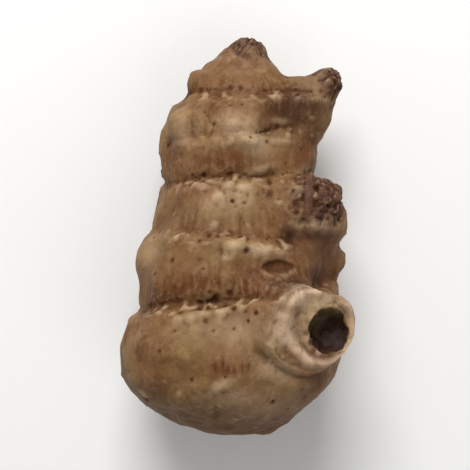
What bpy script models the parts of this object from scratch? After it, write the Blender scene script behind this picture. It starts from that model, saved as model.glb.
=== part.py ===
"""A Jerusalem artichoke: one knobbly tuber lying on its side.

The tuber runs along Y, from its fat base end to its bud end at +Y, and lies on the plane Z = 0.
Scale-leaf rings cross it, side buds swell from it, and a hollow scar marks where its stem broke off.
The whole tuber is one solid. Lengths in the tables are millimetres and become metres in the meshes.
"""

import math
import random

import bmesh
import bpy
import numpy as np
from mathutils import Matrix, Vector, noise

MM = 0.001

# Driving dimensions of the fleshy body.
LENGTH = 67.5
BASE_ROUNDING = 12.0  # length of the rounded base end
TIP_ROUNDING = 17.0  # length of the rounded bud end
FLATNESS = 0.9  # height over width of a cross-section
LIFT = 0.18  # how far the lowest flesh starts below Z = 0, where the flat spots are cut
# Lobes of a cross-section: how many, height as a share of its width, turn, turn for each mm of Y.
LOBES = ((3, 0.022, 0.0, 0.09), (2, 0.015, -0.8, 0.0))

# Along the body: y, half width before the ends are rounded, x of the middle.
GIRTH = (
    (-34.0, 18.9, -2.2),
    (-17.0, 18.9, -0.8),
    (-3.0, 17.0, 0.0),
    (9.0, 14.9, 0.0),
    (21.0, 13.4, 0.2),
    (34.0, 12.6, 1.2),
)

# Scale-leaf rings: y on the crown, slope towards +X, groove depth, height of the lip below it.
RINGS = (
    (-22.6, -0.02, 0.35, 0.35),
    (-9.6, 0.15, 1.50, 0.90),
    (0.7, -0.06, 0.85, 0.80),
    (11.0, 0.06, 1.30, 0.75),
    (18.6, 0.10, 1.00, 0.55),
    (26.0, 0.02, 0.90, 0.50),
)
GROOVE_WIDTH = 0.9
LIP_WIDTH = 1.1
LIP_STEP = 1.65  # from a groove to the crest of its lip
LIP_BUMPS = 0.42  # bumps to a millimetre of lip
WAIST = 0.9  # depth of the broad waist at a ring, as a share of its groove's depth
WAIST_WIDTH = 3.6
WAVER = 1.1  # how far a ring wanders to and fro along the body
RING_NOISE_RADIUS = 2.2  # radius of the circle through the noise that a ring's wandering follows
RING_NOISE_STEP = 7.3  # from one ring's circle to the next
RING_FADE = (0.45, 1.3, 0.85)  # share that a ring may lose away from the crown: mean, swing, most

# Uneven flesh: height of its dents and how many there are to a millimetre, and folds along the body.
DENTS = ((1.5, 0.085), (0.6, 0.21))
FOLD_HEIGHT = 0.35
FOLD_WAVES = (0.5, 0.10, 0.5)
FOLD_OFFSET = (11.0, 4.0, 2.0)

# Side growths: name, centre, direction of growth, half length along it, half widths across it.
KNOB_TAPER = 0.14
KNOBS = (
    ("right_knob", (11.4, 1.6, 16.2), (0.80, 0.20, 0.55), 9.0, (9.4, 8.0)),
    ("upper_knob", (10.0, 22.8, 13.0), (0.80, 0.58, 0.14), 9.0, (6.8, 6.6)),
    ("right_shoulder", (12.6, -3.8, 14.0), (0.94, -0.04, 0.34), 8.6, (6.6, 7.2)),
    ("left_nub", (-12.6, -4.6, 17.0), (-0.90, 0.06, 0.42), 5.8, (8.0, 7.4)),
    ("back_knob", (-6.6, 12.2, 6.8), (-0.80, 0.14, -0.46), 7.6, (6.2, 6.0)),
    ("low_nub", (-9.6, -21.0, 8.8), (-0.80, -0.35, -0.30), 7.4, (6.0, 5.2)),
    ("crown_swelling", (0.8, 18.2, 22.4), (0.82, -0.57, -0.05), 6.0, (3.6, 3.4)),
    ("left_swelling", (-9.0, 18.8, 19.0), (0.08, 0.99, -0.10), 4.8, (2.9, 3.2)),
    ("base_bud", (-14.6, -26.4, 20.6), (-0.70, -0.25, 0.66), 3.4, (2.2, 2.0)),
    ("base_nub", (4.2, -28.8, 14.6), (0.10, -0.95, 0.20), 5.4, (7.0, 5.0)),
    ("base_side_nub", (-9.4, -28.2, 10.6), (-0.45, -0.85, -0.10), 4.8, (4.4, 4.2)),
    ("tip_bud", (1.0, 28.4, 12.0), (0.10, 0.98, 0.12), 7.0, (6.8, 6.4)),
    ("tip_side_bud", (-6.2, 26.6, 14.0), (-0.55, 0.75, 0.36), 4.6, (3.8, 3.4)),
)

# Scaly buds: centre, direction they face, radius, number of scales.
BUD_HEIGHT = 0.65  # height of a bud's dome over its radius
SCALE_SHAPE = (0.68, 0.95, 0.95)  # thickness, width and length of a scale over its radius
SCALE_OVERLAP = 1.2
SCALE_UPRIGHT = 1.4  # how much more the scales point out of the bud than sideways
SCALE_SPREAD = 0.22  # how much the sizes, places and leans of the scales differ, as a share
SCALY_BUDS = (
    ((13.7, 6.3, 21.3), (0.42, 0.38, 0.82), 5.0, 17),
    ((16.3, 28.0, 14.2), (0.80, 0.58, 0.14), 3.2, 8),
    ((-11.6, 13.1, 4.0), (-0.86, 0.14, -0.30), 2.8, 7),
    ((1.6, 33.0, 12.6), (0.10, 0.98, 0.12), 3.8, 10),
)

# Stem scar: a flared collar with a hollow in its mouth. The collar spreads further on its body side.
SCAR_MOUTH = (15.8, -15.0, 31.2)  # middle of the collar's rim
SCAR_AXIS = (0.46, -0.04, 0.89)
SCAR_RADIUS = 3.4
SCAR_DEPTH = 4.6
# Up the collar and in over its rim: height, radius, how far the ring is shifted towards the body.
COLLAR = (
    (-14.0, 11.0, 4.6),
    (-6.6, 9.6, 4.3),
    (-3.0, 8.6, 3.8),
    (-0.9, 7.9, 3.3),
    (-0.1, 7.1, 2.7),
    (-0.6, 6.2, 1.9),
    (-1.5, 5.4, 1.0),
    (-1.3, 4.8, 0.5),
    (-0.6, 4.4, 0.2),
    (-0.6, 3.8, 0.0),
)
HOLLOW = (
    (-SCAR_DEPTH, 0.4 * SCAR_RADIUS, 0.0),
    (-0.85 * SCAR_DEPTH, 0.8 * SCAR_RADIUS, 0.0),
    (-0.3 * SCAR_DEPTH, SCAR_RADIUS, 0.0),
    (2.0, 1.25 * SCAR_RADIUS, 0.0),
)

# Uneven outline of the scar's round shapes: waves round it, height, turn.
SCAR_LOBES = ((2, 0.06, 0.6), (3, 0.05, -1.2))  # as a share of the radius
SCAR_RAGGED = ((2, 0.35, 2.0), (5, 0.25, 0.0))  # along the axis
SCAR_DRIFT = 0.25  # how much of a ring's shift is towards +Y

VOXEL = 0.45
TRIANGLES = 9000
SKIN_COLOUR = (0.36, 0.25, 0.16, 1.0)


def clear_scene():
    for obj in list(bpy.data.objects):
        bpy.data.objects.remove(obj)


def through(stations, column, y):
    """A smooth (Catmull-Rom) curve through one column of a table of stations along Y."""
    ys = [row[0] for row in stations]
    values = [row[column] for row in stations]
    last = len(stations) - 2
    index = min(max(int(np.searchsorted(ys, y)) - 1, 0), last)
    step = ys[index + 1] - ys[index]
    t = min(max((y - ys[index]) / step, 0.0), 1.0)
    before, after = max(index - 1, 0), min(index + 2, last + 1)
    start = (values[index + 1] - values[before]) / (ys[index + 1] - ys[before]) * step
    end = (values[after] - values[index]) / (ys[after] - ys[index]) * step
    return (
        (2 * t**3 - 3 * t**2 + 1) * values[index]
        + (t**3 - 2 * t**2 + t) * start
        + (3 * t**2 - 2 * t**3) * values[index + 1]
        + (t**3 - t**2) * end
    )


def rounding(y):
    """Share of the full girth left at y: 1 along the body and 0 at both ends."""
    from_base = y + LENGTH / 2
    from_tip = LENGTH / 2 - y
    share = 1.0
    if from_base < BASE_ROUNDING:
        share = math.sqrt(max(0.0, 1 - (1 - from_base / BASE_ROUNDING) ** 2))
    if from_tip < TIP_ROUNDING:
        share = math.sqrt(max(0.0, 1 - (1 - from_tip / TIP_ROUNDING) ** 2))
    return share


def middle(y):
    """Centre of the body's cross-section at y. The belly line stays level, so the body lies flat."""
    return Vector((through(GIRTH, 2, y), y, FLATNESS * through(GIRTH, 1, y) - LIFT))


def body_point(y, angle):
    """A point of the smooth body, at an angle from +X round towards +Z."""
    half_width = through(GIRTH, 1, y) * rounding(y)
    lobes = 1.0
    for count, height, turn, twist in LOBES:
        lobes += height * math.cos(count * angle + turn + twist * y)
    across = Vector((math.cos(angle), 0, FLATNESS * math.sin(angle)))
    return middle(y) + half_width * lobes * across


def build_body(steps_along=120, steps_round=120):
    """The fleshy body, lofted through its cross-sections and closed by a point at each end."""
    bm = bmesh.new()
    rings = []
    for row in range(1, steps_along):
        y = -LENGTH / 2 * math.cos(math.pi * row / steps_along)
        angles = (2 * math.pi * i / steps_round for i in range(steps_round))
        rings.append([bm.verts.new(body_point(y, angle) * MM) for angle in angles])
    for lower, upper in zip(rings, rings[1:]):
        for i in range(steps_round):
            j = (i + 1) % steps_round
            bm.faces.new((lower[i], upper[i], upper[j], lower[j]))
    for ring, end in ((rings[0], -1), (rings[-1], 1)):
        pole = bm.verts.new(middle(end * LENGTH / 2) * MM)
        for i in range(steps_round):
            j = (i + 1) % steps_round
            pair = (ring[j], ring[i]) if end > 0 else (ring[i], ring[j])
            bm.faces.new((*pair, pole))
    bmesh.ops.recalc_face_normals(bm, faces=bm.faces)
    return object_from(bm, "tuber")


def object_from(bm, name):
    mesh = bpy.data.meshes.new(name)
    bm.to_mesh(mesh)
    bm.free()
    obj = bpy.data.objects.new(name, mesh)
    bpy.context.scene.collection.objects.link(obj)
    return obj


def placed(centre, direction):
    """The matrix that stands a shape's +Z along a direction at a centre given in millimetres."""
    turn = Vector(direction).to_track_quat("Z", "Y").to_matrix().to_4x4()
    return Matrix.Translation(Vector(centre) * MM) @ turn


def build_knob(name, centre, direction, half_length, half_widths):
    """A side growth: an egg whose blunt end is sunk in the body."""
    bm = bmesh.new()
    bmesh.ops.create_icosphere(bm, subdivisions=5, radius=1.0)
    for vert in bm.verts:
        taper = 1 - KNOB_TAPER * vert.co.z
        vert.co.x *= half_widths[0] * taper * MM
        vert.co.y *= half_widths[1] * taper * MM
        vert.co.z *= half_length * MM
    bm.transform(placed(centre, direction))
    return object_from(bm, name)


def vary(draw):
    """A random factor near 1."""
    return draw.uniform(1 - SCALE_SPREAD, 1 + SCALE_SPREAD)


def build_scaly_bud(centre, direction, radius, scales):
    """A low dome of overlapping scales, set in a sunflower spiral round its point."""
    bm = bmesh.new()
    draw = random.Random(scales)
    golden_angle = math.pi * (3 - math.sqrt(5))
    frame = placed(centre, direction)
    dome = frame @ Matrix.Diagonal((radius, radius, BUD_HEIGHT * radius, 1.0)) @ Matrix.Scale(MM, 4)
    bmesh.ops.create_icosphere(bm, subdivisions=4, radius=1.0, matrix=dome)
    for k in range(scales):
        scale_radius = SCALE_OVERLAP * radius / math.sqrt(scales) * vary(draw)
        out = min(1.0, math.sqrt((k + 0.3) / scales) * vary(draw))
        angle = k * golden_angle + vary(draw) - 1
        height = 0.92 * BUD_HEIGHT * radius * math.sqrt(1 - out**2)
        place = Vector((radius * out * math.cos(angle), radius * out * math.sin(angle), height))
        upright = SCALE_UPRIGHT * vary(draw)
        lean = Vector((math.cos(angle), math.sin(angle), upright)).to_track_quat("Z", "Y")
        shape = Matrix.Diagonal((*SCALE_SHAPE, 1.0)) @ Matrix.Scale(scale_radius * MM, 4)
        where = frame @ Matrix.Translation(place * MM) @ lean.to_matrix().to_4x4() @ shape
        bmesh.ops.create_icosphere(bm, subdivisions=3, radius=1.0, matrix=where)
    return object_from(bm, "scaly_bud")


def waves(table, angle):
    """The sum of the waves of a table at an angle."""
    return sum(height * math.cos(count * angle + turn) for count, height, turn in table)


def scar_point(height, radius, shift, angle):
    """A point of the scar's uneven round shapes, at an angle from +X round towards +Y."""
    axis = Vector(SCAR_AXIS).normalized()
    outward = Vector((axis.z, 0, -axis.x)).normalized()
    onward = axis.cross(outward)
    lobes = 1 + waves(SCAR_LOBES, angle)
    ragged = waves(SCAR_RAGGED, angle)
    across = radius * lobes * (math.cos(angle) * outward + math.sin(angle) * onward)
    across += shift * (SCAR_DRIFT * onward - outward)
    return Vector(SCAR_MOUTH) + across + (height + ragged) * axis


def turned(profile, name, steps=64):
    """A solid turned about the scar's axis from rows like the collar's, closed by flat ends."""
    bm = bmesh.new()
    rings = []
    for row in profile:
        angles = (2 * math.pi * i / steps for i in range(steps))
        rings.append([bm.verts.new(scar_point(*row, angle) * MM) for angle in angles])
    for lower, upper in zip(rings, rings[1:]):
        for i in range(steps):
            j = (i + 1) % steps
            bm.faces.new((lower[i], lower[j], upper[j], upper[i]))
    bm.faces.new(list(reversed(rings[0])))
    bm.faces.new(rings[-1])
    bmesh.ops.recalc_face_normals(bm, faces=bm.faces)
    return object_from(bm, name)


def joined(parts):
    """One object that holds the meshes of all the parts."""
    bm = bmesh.new()
    for part in parts:
        bm.from_mesh(part.data)
        bpy.data.objects.remove(part)
    return object_from(bm, "tuber")


def apply_modifiers(obj):
    """Replaces the object's mesh by what its modifiers make of it."""
    graph = bpy.context.evaluated_depsgraph_get()
    mesh = bpy.data.meshes.new_from_object(obj.evaluated_get(graph))
    obj.modifiers.clear()
    obj.data = mesh


def grow_together(obj):
    """Fuses overlapping shapes under one skin of even quads."""
    skin = obj.modifiers.new("one skin", "REMESH")
    skin.mode = "VOXEL"
    skin.voxel_size = VOXEL * MM
    apply_modifiers(obj)


def hollow_scar(obj):
    """Cuts the hollow out of the collar's mouth."""
    cutter = turned(HOLLOW, "hollow")
    cut = obj.modifiers.new("hollow", "BOOLEAN")
    cut.operation = "DIFFERENCE"
    cut.object = cutter
    apply_modifiers(obj)
    bpy.data.objects.remove(cutter)


def soften(obj, passes):
    smooth = obj.modifiers.new("soften", "SMOOTH")
    smooth.factor = 0.5
    smooth.iterations = passes
    apply_modifiers(obj)


def ring_relief(x, y, z):
    """Height of the rings' grooves and lips at a point of the surface, in millimetres."""
    centre = middle(min(max(y, -LENGTH / 2), LENGTH / 2))
    angle = math.atan2(z - centre.z, x - centre.x)
    height = 0.0
    for number, (crown, slope, depth, lip) in enumerate(RINGS):
        radius = RING_NOISE_RADIUS
        round_it = Vector((radius * math.cos(angle), radius * math.sin(angle), RING_NOISE_STEP * number))
        line = crown + slope * (x - centre.x) + WAVER * noise.noise(round_it)
        mean, swing, most = RING_FADE
        fade = min(most, max(0.0, mean + swing * noise.noise(round_it + Vector((0, 0, 3.1)))))
        strength = 1 - fade * (1 - max(0.0, math.sin(angle)))
        past = y - line
        height -= depth * strength * math.exp(-((past / GROOVE_WIDTH) ** 2))
        height -= WAIST * depth * strength * math.exp(-((past / WAIST_WIDTH) ** 2))
        bumps = max(0.0, 0.35 + 1.3 * noise.noise(Vector((x, line, z)) * LIP_BUMPS))
        height += lip * bumps * strength * math.exp(-(((past + LIP_STEP) / LIP_WIDTH) ** 2))
    return height


def flesh_relief(point):
    """Height of the uneven flesh at a point: broad dents, and folds that run along the body."""
    dents = sum(height * noise.noise(point * count) for height, count in DENTS)
    return dents + FOLD_HEIGHT * noise.noise(point * Vector(FOLD_WAVES) + Vector(FOLD_OFFSET))


def quiet(point):
    """Share of the relief kept at a point: all of it on the body, and none on the buds and in the scar."""
    kept = 1.0
    for centre, _, radius, _ in (*SCALY_BUDS, (SCAR_MOUTH, None, 1.5 * SCAR_RADIUS, None)):
        away = (point - Vector(centre)).length / radius
        kept *= min(1.0, max(0.0, 1.4 * (away - 0.9)))
    return kept


def raise_relief(obj):
    """Moves the skin in and out along its normals to make the rings and the uneven flesh."""
    mesh = obj.data
    for vert, normal in zip(mesh.vertices, [n.vector.copy() for n in mesh.vertex_normals]):
        point = vert.co / MM
        height = quiet(point) * (ring_relief(*point) + flesh_relief(point))
        vert.co += normal * height * MM
    mesh.update()


def thin_out(obj):
    """Brings the mesh down to its triangle budget, most of them where the skin bends most."""
    triangles = sum(len(face.vertices) - 2 for face in obj.data.polygons)
    fewer = obj.modifiers.new("fewer", "DECIMATE")
    fewer.ratio = TRIANGLES / triangles
    fewer.use_collapse_triangulate = True
    apply_modifiers(obj)


def lay_down(obj):
    """Cuts the small flat spots that the tuber rests on, and puts the origin below its middle."""
    bm = bmesh.new()
    bm.from_mesh(obj.data)
    everything = bm.verts[:] + bm.edges[:] + bm.faces[:]
    cut = bmesh.ops.bisect_plane(
        bm, geom=everything, plane_co=(0, 0, 0), plane_no=(0, 0, 1), clear_inner=True
    )
    rim = [item for item in cut["geom_cut"] if isinstance(item, bmesh.types.BMEdge)]
    bmesh.ops.holes_fill(bm, edges=rim)
    bmesh.ops.triangulate(bm, faces=bm.faces)
    xs = [vert.co.x for vert in bm.verts]
    ys = [vert.co.y for vert in bm.verts]
    middle_of_box = Vector((min(xs) + max(xs), min(ys) + max(ys), 0)) / 2
    bmesh.ops.translate(bm, vec=-middle_of_box, verts=bm.verts)
    bm.to_mesh(obj.data)
    bm.free()


def finish(obj):
    skin = bpy.data.materials.new("skin")
    skin.use_nodes = True
    shader = skin.node_tree.nodes["Principled BSDF"]
    shader.inputs["Base Color"].default_value = SKIN_COLOUR
    shader.inputs["Roughness"].default_value = 0.7
    shader.inputs["Metallic"].default_value = 0.0
    obj.data.materials.clear()
    obj.data.materials.append(skin)
    obj.data.shade_smooth()


def main():
    clear_scene()
    growths = [build_knob(*knob) for knob in KNOBS]
    growths += [build_scaly_bud(*bud) for bud in SCALY_BUDS]
    tuber = joined([build_body(), turned(COLLAR, "collar"), *growths])
    grow_together(tuber)
    hollow_scar(tuber)
    grow_together(tuber)
    soften(tuber, 3)
    raise_relief(tuber)
    grow_together(tuber)
    soften(tuber, 1)
    thin_out(tuber)
    lay_down(tuber)
    finish(tuber)


main()
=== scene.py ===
"""The looks of a Jerusalem artichoke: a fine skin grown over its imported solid, on a plain studio stage.

The skin starts as an even copy of the solid. Rings, wrinkles, lumps, pores, bud scales and the stem
scar are then raised on it in mesh code, and each leaves a mark that its material reads as a mask.
Lengths in the tables are millimetres along the solid's own axes: +X to the right of the body's middle,
+Y from the middle towards the bud end, and Z up from the surface that it lies on.
"""

import math
import random

import bmesh
import bpy
import numpy as np
from bpy.props import FloatProperty, FloatVectorProperty, IntProperty, PointerProperty
from bpy.types import Operator, Panel, PropertyGroup
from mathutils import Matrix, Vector, kdtree, noise


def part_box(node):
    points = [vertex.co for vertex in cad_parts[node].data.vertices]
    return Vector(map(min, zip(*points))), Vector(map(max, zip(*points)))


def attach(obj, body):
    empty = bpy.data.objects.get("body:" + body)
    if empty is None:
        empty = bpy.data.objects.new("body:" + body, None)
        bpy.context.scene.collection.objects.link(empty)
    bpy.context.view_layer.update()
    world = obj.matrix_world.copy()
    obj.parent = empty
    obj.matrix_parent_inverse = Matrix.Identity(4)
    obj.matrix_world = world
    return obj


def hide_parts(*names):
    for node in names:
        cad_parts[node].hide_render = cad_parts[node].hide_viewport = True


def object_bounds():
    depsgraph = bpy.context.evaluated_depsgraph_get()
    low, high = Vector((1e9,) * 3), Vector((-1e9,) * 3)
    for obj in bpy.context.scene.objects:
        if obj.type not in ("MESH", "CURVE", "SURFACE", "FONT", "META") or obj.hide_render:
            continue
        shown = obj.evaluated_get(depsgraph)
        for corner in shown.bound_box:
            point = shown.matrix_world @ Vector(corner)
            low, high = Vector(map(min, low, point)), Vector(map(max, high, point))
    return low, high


bl_info = {
    "name": "Jerusalem Artichoke Looks",
    "version": (1, 0, 0),
    "blender": (4, 5, 0),
    "location": "3D Viewport > Sidebar > Tuber",
    "description": "Grows a fine skin over the packed tuber and sets a studio stage round it",
    "category": "Object",
}

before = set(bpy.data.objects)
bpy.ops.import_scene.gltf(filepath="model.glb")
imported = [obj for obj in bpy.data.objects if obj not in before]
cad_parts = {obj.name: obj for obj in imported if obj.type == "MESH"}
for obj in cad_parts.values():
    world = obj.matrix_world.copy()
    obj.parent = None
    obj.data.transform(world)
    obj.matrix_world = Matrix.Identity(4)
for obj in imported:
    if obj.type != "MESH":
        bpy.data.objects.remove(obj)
CAD_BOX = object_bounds()
LOW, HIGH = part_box("tuber")

MM = 0.001
BODY_MIDDLE = (0.323, -0.770)  # from the middle of the tuber's box to its body's own middle
ORIGIN = np.array(
    ((LOW.x + HIGH.x) / 2 + BODY_MIDDLE[0] * MM, (LOW.y + HIGH.y) / 2 + BODY_MIDDLE[1] * MM, LOW.z)
)
WELD = 1e-6

# The body's centre line: y, x, z.
CENTRE_LINE = (
    (-34.0, -2.2, 16.8),
    (-17.0, -0.8, 16.8),
    (-3.0, 0.0, 15.1),
    (9.0, 0.0, 13.2),
    (21.0, 0.2, 11.9),
    (34.0, 1.2, 11.2),
)

# Scale-leaf rings: y on the crown, slope towards +X, crease depth, height that fills the solid's groove
# where the crease is faint, height of the lumpy lip, wrinkling, and how dark the crease is all along.
RINGS = (
    (-22.6, -0.02, 0.10, 0.30, 0.05, 0.10, 0.00),
    (-9.6, 0.15, 0.50, 0.30, 0.45, 1.00, 0.14),
    (0.7, -0.06, 0.30, 0.50, 0.35, 0.35, 0.08),
    (11.0, 0.06, 0.44, 0.35, 0.36, 0.45, 0.14),
    (18.6, 0.10, 0.36, 0.45, 0.26, 0.40, 0.12),
    (26.0, 0.02, 0.36, 0.35, 0.26, 0.40, 0.20),
)

# The dark places of each ring's crease on the crown, partly painted shade in the groove and partly dark
# pores: x, half width and darkness.
DARK_PLACES = (
    ((0.0, 4.0, 0.10),),
    ((-4.4, 2.2, 1.00), (-10.5, 3.0, 0.35), (4.0, 2.0, 0.25)),
    ((-7.0, 3.0, 0.35), (-1.5, 1.4, 0.30), (4.5, 1.5, 0.40)),
    ((-6.0, 1.8, 0.90), (-1.6, 1.3, 0.80), (1.2, 1.2, 0.50), (6.0, 1.6, 0.40)),
    ((6.0, 2.8, 0.90), (-5.4, 1.2, 0.50)),
    ((-2.0, 4.0, 0.50),),
)

# A ring runs where the solid's groove does.
RING_WAVER = 1.1  # how far it strays from its line
RING_NOISE_RADIUS = 2.2  # more gives it more waves
RING_NOISE_STEP = 7.3  # keeps its waves unlike the next ring's
RING_FADE = (0.45, 1.3, 0.85)  # how much of it fades round the sides: mean, swing and most

# How far the parts of a ring reach along the body, and how deep its wrinkles are.
GROOVE_REACH = 1.1
CREASE_REACH = (0.24, 0.32)  # where it is faint, and what it gains where it is dark
CREASE_RUST_REACH = 0.8
LIP_BELOW = 1.3
LIP_REACH = 0.85
WRINKLE_REACH = 4.2
WRINKLE_DEPTH = 0.20
FULL_CREASE = 0.3  # depth from which a crease has all its darkness and pores
FULL_LIP = 0.3  # height from which a lip has all its paleness

# Pale lumps on the crown: x, y, half length, half width, turn in degrees, height, paleness.
LUMPS = (
    (-3.1, -24.2, 2.0, 0.9, 30, 0.42, 0.75),
    (-10.2, -12.8, 1.0, 0.8, 0, 0.30, 0.60),
    (-7.6, -12.4, 1.1, 0.8, 10, 0.34, 0.65),
    (-5.7, -11.9, 1.0, 0.8, 0, 0.40, 0.80),
    (-2.9, -11.8, 1.4, 0.8, 40, 0.50, 0.85),
    (-0.2, -10.6, 0.7, 0.6, 60, 0.40, 0.80),
    (-7.8, -14.4, 2.2, 0.9, 0, 0.16, 0.25),
    (4.8, -17.3, 0.6, 0.5, 0, 0.26, 0.55),
    (6.4, -17.7, 0.6, 0.5, 0, 0.26, 0.55),
    (-0.2, -0.6, 1.3, 1.1, 20, 0.55, 1.00),
    (4.3, -1.6, 2.2, 0.9, -8, 0.50, 1.00),
    (7.6, -1.8, 2.2, 0.6, -4, 0.30, 0.55),
    (-2.0, -2.7, 0.8, 0.5, 0, 0.20, 0.55),
    (-6.1, 9.6, 1.0, 0.7, -15, 0.36, 0.75),
    (-3.3, 7.8, 1.3, 1.1, 30, 0.40, 0.90),
    (-1.5, 9.7, 1.1, 0.8, 0, 0.36, 0.80),
    (1.4, 9.3, 1.5, 0.9, -8, 0.45, 1.00),
    (0.4, 7.9, 0.8, 0.6, 0, 0.25, 0.70),
    (7.5, 6.7, 0.7, 0.5, 0, 0.26, 0.60),
    (9.8, 8.3, 1.3, 1.2, 0, 0.26, 0.50),
    (-4.4, 2.7, 0.6, 0.5, 0, 0.22, 0.60),
    (4.7, 12.1, 2.6, 0.6, 20, 0.34, 0.50),
    (8.2, 17.2, 2.2, 0.6, 5, 0.30, 0.50),
    (8.2, 20.4, 2.0, 0.5, 0, 0.24, 0.40),
    (-16.4, -26.6, 0.9, 0.8, 0, 0.35, 1.00),
    (12.8, -28.6, 1.0, 0.7, 20, 0.25, 0.50),
    (12.1, -17.2, 0.9, 0.5, -55, 0.35, 1.00),
    (5.6, -17.4, 1.7, 1.3, 20, 0.20, 0.80),
    (13.4, 1.9, 2.6, 1.0, -6, 0.50, 0.80),
)

# Skin rubbed down to paler flesh, and painted light: x, y, half length, half width, turn, how much.
RUBBED_AND_PAINTED_LIGHT = (
    (-15.6, -1.6, 3.4, 3.6, 0, 0.40),
    (-0.8, 19.8, 3.8, 2.2, -10, 0.66),
    (3.2, 17.2, 3.6, 1.9, -32, 0.85),
    (-9.0, 18.4, 2.2, 3.8, 0, 0.42),
    (13.4, 1.8, 2.9, 1.1, -6, 0.95),
    (-1.6, 7.6, 4.6, 2.8, 0, 0.36),
    (0.4, -14.4, 6.0, 3.2, 0, 0.42),
    (-8.4, -14.6, 6.0, 2.2, 0, 0.12),
    # The last three rows are painted light: they lighten the shaded lower end of the body and the shaded
    # foot of the scar's ridge.
    (6.8, -21.6, 3.2, 2.2, -30, 0.66),
    (0.6, -26.6, 5.0, 1.7, 0, 0.50),
    (6.0, -28.4, 5.0, 2.6, 0, 0.40),
)

# Browner patches: x, y, half length, half width, turn, how much, where above 1 is soiled as well.
BROWNED = (
    (-8.0, -8.4, 6.5, 2.6, 6, 1.00),
    (1.6, -6.8, 3.6, 3.0, 0, 0.80),
    (-14.6, -10.4, 2.6, 3.0, 0, 1.50),
    (9.9, -6.6, 4.8, 2.5, 0, 2.00),
    (12.6, -1.0, 5.0, 3.0, 0, 0.55),
    (9.4, 0.5, 1.8, 2.6, 0, 2.00),
    (-9.0, 12.6, 4.0, 2.0, 0, 0.45),
    (-1.6, 13.2, 5.6, 2.2, 0, 1.00),
    # This patch is partly browner skin and partly painted shade over the upper right knob.
    (10.0, 22.8, 6.0, 3.6, 8, 2.00),
    (13.0, 16.0, 3.0, 5.0, 0, 0.90),
    (-3.5, 23.6, 5.0, 1.8, 0, 0.45),
    (-8.6, 1.6, 5.0, 1.8, 0, 0.45),
    (4.4, 1.0, 3.0, 1.2, 0, 0.45),
    (12.6, -24.6, 4.0, 4.4, 0, 0.15),
    (5.6, -31.4, 3.4, 2.0, 0, 0.80),
    (-13.6, -22.0, 4.0, 4.0, 0, 0.30),
    (14.2, -7.1, 3.2, 2.3, 0, 2.00),
    (-8.6, 8.8, 3.2, 2.4, 0, 0.75),
    (-12.2, 4.0, 3.0, 3.4, 0, 0.60),
    (-11.2, 14.0, 2.6, 3.2, 0, 1.00),
)

# Patches with a purple flush: x, y, half length, half width, turn, how much.
FLUSHED = (
    (15.0, -1.0, 3.6, 3.2, 0, 0.50),
    (13.6, -25.2, 3.0, 3.6, 20, 0.25),
    (-8.6, 4.6, 3.2, 4.0, 0, 0.14),
    (-13.8, -27.0, 3.0, 2.6, 0, 0.20),
    (12.4, 19.0, 2.0, 3.4, 0, 0.24),
)

# Single pores on the crown: x, y, radius, darkness.
PORES = (
    (-4.9, -10.8, 0.45, 0.9),
    (-3.3, -9.9, 0.80, 0.70),
    (-2.1, -10.5, 0.60, 1.0),
    (-6.5, -10.9, 0.42, 0.8),
    (-4.7, -9.3, 0.35, 0.8),
    (-1.3, -9.5, 0.50, 0.9),
    (-0.8, -11.0, 0.50, 1.0),
    (2.5, -11.8, 0.48, 0.9),
    (1.3, -13.1, 0.42, 0.8),
    (-0.4, -14.1, 0.36, 0.6),
    (-4.0, -14.5, 0.34, 0.5),
    (-10.6, -14.5, 0.34, 0.5),
    (-10.1, -11.5, 0.80, 0.5),
    (-5.4, -13.0, 0.45, 0.5),
    (-14.6, -6.0, 0.38, 0.6),
    (-11.4, -3.2, 0.45, 0.5),
    (-6.0, -4.5, 0.38, 0.5),
    (1.6, -1.3, 0.55, 1.0),
    (-3.4, 0.9, 0.42, 0.7),
    (-1.3, 1.1, 0.38, 0.7),
    (0.6, 0.8, 0.38, 0.7),
    (-13.3, -18.0, 0.45, 0.6),
    (-0.7, 7.3, 0.50, 1.0),
    (1.4, 6.7, 0.42, 0.6),
    (6.1, 8.3, 0.75, 0.5),
    (5.9, 10.3, 0.60, 0.7),
    (9.2, 8.6, 0.45, 0.8),
    (10.6, 10.1, 0.55, 0.8),
    (9.6, 6.6, 0.55, 0.9),
    (9.7, 5.0, 0.60, 0.9),
    (7.4, 7.3, 0.36, 0.6),
    (-4.7, 20.1, 0.50, 0.8),
    (6.5, -27.3, 0.55, 0.9),
)

# Dents and dark hollows on the crown: x, y, half length, half width, turn, depth, darkness.
DENTS = (
    (6.6, -3.9, 2.6, 1.2, 12, 0.25, 0.25),
    (9.5, 0.5, 2.3, 1.5, 84, 0.70, 0.60),
    (-16.0, -27.8, 1.0, 0.5, 0, 0.50, 1.00),
)

# The folded eye on the crown: x and y of its middle, half length, rise of its upper lid, drop of its
# lower lip, and depth.
EYE = (7.2, -4.3, 3.2, 1.3, 0.9, 0.26)

# Short dark ticks along the body: x and y of each one's middle, and half length.
TICK_HALF_WIDTH = 0.42
TICK_DEPTH = 0.10
TICKS = (
    (-4.0, -21.3, 1.2),
    (-2.7, -20.9, 1.5),
    (-1.9, -21.6, 1.1),
    (-0.9, -21.9, 0.8),
    (0.6, -21.6, 1.0),
    (1.9, -21.3, 1.2),
)

# What is scattered by chance: radius, strength of its colour, and least distance to the next one.
RING_PORE = ((0.20, 0.42), (0.4, 1.0), 1.1)
PIT = ((0.16, 0.34), (0.3, 0.9), 1.6)
WART = ((0.25, 0.60), (0.1, 0.45), 1.2)

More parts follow.
